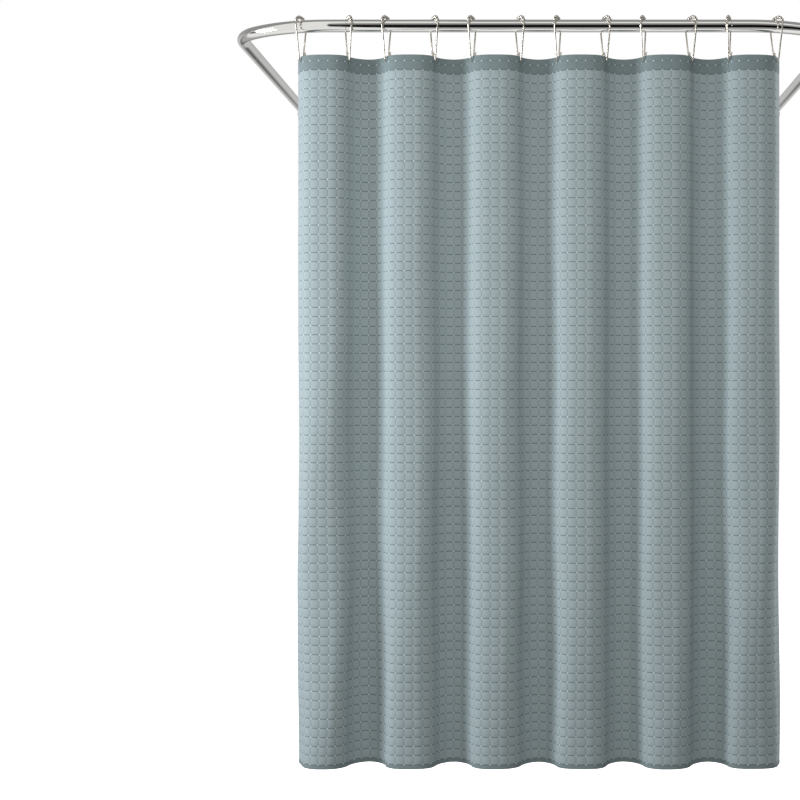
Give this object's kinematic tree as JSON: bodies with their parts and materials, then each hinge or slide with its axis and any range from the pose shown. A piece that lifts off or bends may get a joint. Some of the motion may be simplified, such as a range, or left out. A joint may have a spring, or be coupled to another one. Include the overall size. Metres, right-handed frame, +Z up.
{
  "type": "shower curtain",
  "caption": "Pleated fabric shower curtain hung from roller-ball hooks on a U-shaped wall-mounted rod; draws along the rod and swings under it.",
  "frame": {"origin": "middle of the left wall plate's back face, on the wall", "axes": "+X along the wall to the right wall plate, +Y into the wall, +Z up"},
  "size_m": [1.654, 1.1313, 1.9385],
  "materials": {
    "rod_chrome": "polished",
    "hook_chrome": "polished wire",
    "roller_chrome": "polished balls",
    "fixing_chrome": "polished",
    "steel": "zinc plated",
    "curtain_fabric": "woven windowpane grid with raised cells",
    "hem_fabric": "doubled and stitched"
  },
  "bodies": {
    "rod": {"corner_tube_left": "rod_chrome", "corner_tube_right": "rod_chrome", "front_set_screw_left_1": "steel", "front_set_screw_left_2": "steel", "front_set_screw_right_1": "steel", "front_set_screw_right_2": "steel", "front_sleeve_left": "steel", "front_sleeve_right": "steel", "front_tube": "rod_chrome", "hub_set_screw_left": "steel", "hub_set_screw_right": "steel", "side_set_screw_left_1": "steel", "side_set_screw_left_2": "steel", "side_set_screw_right_1": "steel", "side_set_screw_right_2": "steel", "side_sleeve_left": "steel", "side_sleeve_right": "steel", "side_tube_left": "rod_chrome", "side_tube_right": "rod_chrome", "wall_cover_left": "fixing_chrome", "wall_cover_right": "fixing_chrome", "wall_plate_left": "fixing_chrome", "wall_plate_right": "fixing_chrome", "wall_screw_left_1": "steel", "wall_screw_left_2": "steel", "wall_screw_left_3": "steel", "wall_screw_right_1": "steel", "wall_screw_right_2": "steel", "wall_screw_right_3": "steel"},
    "curtain": {"curtain_panel": "curtain_fabric", "header_hem": "hem_fabric", "bottom_hem": "hem_fabric", "side_hem_left": "hem_fabric", "side_hem_right": "hem_fabric"},
    "hook_01": {"hook_wire_01": "hook_chrome", "roller_balls_01": "roller_chrome"},
    "hook_02": {"hook_wire_02": "hook_chrome", "roller_balls_02": "roller_chrome"},
    "hook_03": {"hook_wire_03": "hook_chrome", "roller_balls_03": "roller_chrome"},
    "hook_04": {"hook_wire_04": "hook_chrome", "roller_balls_04": "roller_chrome"},
    "hook_05": {"hook_wire_05": "hook_chrome", "roller_balls_05": "roller_chrome"},
    "hook_06": {"hook_wire_06": "hook_chrome", "roller_balls_06": "roller_chrome"},
    "hook_07": {"hook_wire_07": "hook_chrome", "roller_balls_07": "roller_chrome"},
    "hook_08": {"hook_wire_08": "hook_chrome", "roller_balls_08": "roller_chrome"},
    "hook_09": {"hook_wire_09": "hook_chrome", "roller_balls_09": "roller_chrome"},
    "hook_10": {"hook_wire_10": "hook_chrome", "roller_balls_10": "roller_chrome"},
    "hook_11": {"hook_wire_11": "hook_chrome", "roller_balls_11": "roller_chrome"},
    "hook_12": {"hook_wire_12": "hook_chrome", "roller_balls_12": "roller_chrome"}
  },
  "joints": [
    {"name": "curtain_swing", "type": "hinge", "parent": "rod", "child": "curtain", "pos_m": [0.796, -1.1, 0], "axis": [1, 0, 0], "range_deg": [-10, 10]},
    {"name": "draw", "type": "slide", "parent": "curtain", "child": "hook_12", "axis": [-1, 0, 0], "range_m": [0, 0.7477], "deforming": ["curtain_panel", "header_hem", "bottom_hem", "side_hem_left", "side_hem_right"]},
    {"name": "draw_01", "type": "slide", "parent": "curtain", "child": "hook_01", "axis": [-1, 0, 0], "range_m": [-0.0618, 0]},
    {"name": "draw_02", "type": "slide", "parent": "curtain", "child": "hook_02", "axis": [-1, 0, 0], "range_m": [0, 0.0202]},
    {"name": "draw_03", "type": "slide", "parent": "curtain", "child": "hook_03", "axis": [-1, 0, 0], "range_m": [0, 0.0848]},
    {"name": "draw_04", "type": "slide", "parent": "curtain", "child": "hook_04", "axis": [-1, 0, 0], "range_m": [0, 0.1658]},
    {"name": "draw_05", "type": "slide", "parent": "curtain", "child": "hook_05", "axis": [-1, 0, 0], "range_m": [0, 0.2304]},
    {"name": "draw_06", "type": "slide", "parent": "curtain", "child": "hook_06", "axis": [-1, 0, 0], "range_m": [0, 0.3114]},
    {"name": "draw_07", "type": "slide", "parent": "curtain", "child": "hook_07", "axis": [-1, 0, 0], "range_m": [0, 0.376]},
    {"name": "draw_08", "type": "slide", "parent": "curtain", "child": "hook_08", "axis": [-1, 0, 0], "range_m": [0, 0.457]},
    {"name": "draw_09", "type": "slide", "parent": "curtain", "child": "hook_09", "axis": [-1, 0, 0], "range_m": [0, 0.5215]},
    {"name": "draw_10", "type": "slide", "parent": "curtain", "child": "hook_10", "axis": [-1, 0, 0], "range_m": [0, 0.6026]},
    {"name": "draw_11", "type": "slide", "parent": "curtain", "child": "hook_11", "axis": [-1, 0, 0], "range_m": [0, 0.6671]}
  ],
  "couplings": [
    {"joint": "draw_01", "follows": "draw", "ratio": -0.08202},
    {"joint": "draw_02", "follows": "draw", "ratio": 0.026399},
    {"joint": "draw_03", "follows": "draw", "ratio": 0.1127},
    {"joint": "draw_04", "follows": "draw", "ratio": 0.22112},
    {"joint": "draw_05", "follows": "draw", "ratio": 0.30742},
    {"joint": "draw_06", "follows": "draw", "ratio": 0.41584},
    {"joint": "draw_07", "follows": "draw", "ratio": 0.50214},
    {"joint": "draw_08", "follows": "draw", "ratio": 0.61056},
    {"joint": "draw_09", "follows": "draw", "ratio": 0.69686},
    {"joint": "draw_10", "follows": "draw", "ratio": 0.80528},
    {"joint": "draw_11", "follows": "draw", "ratio": 0.89158}
  ]
}
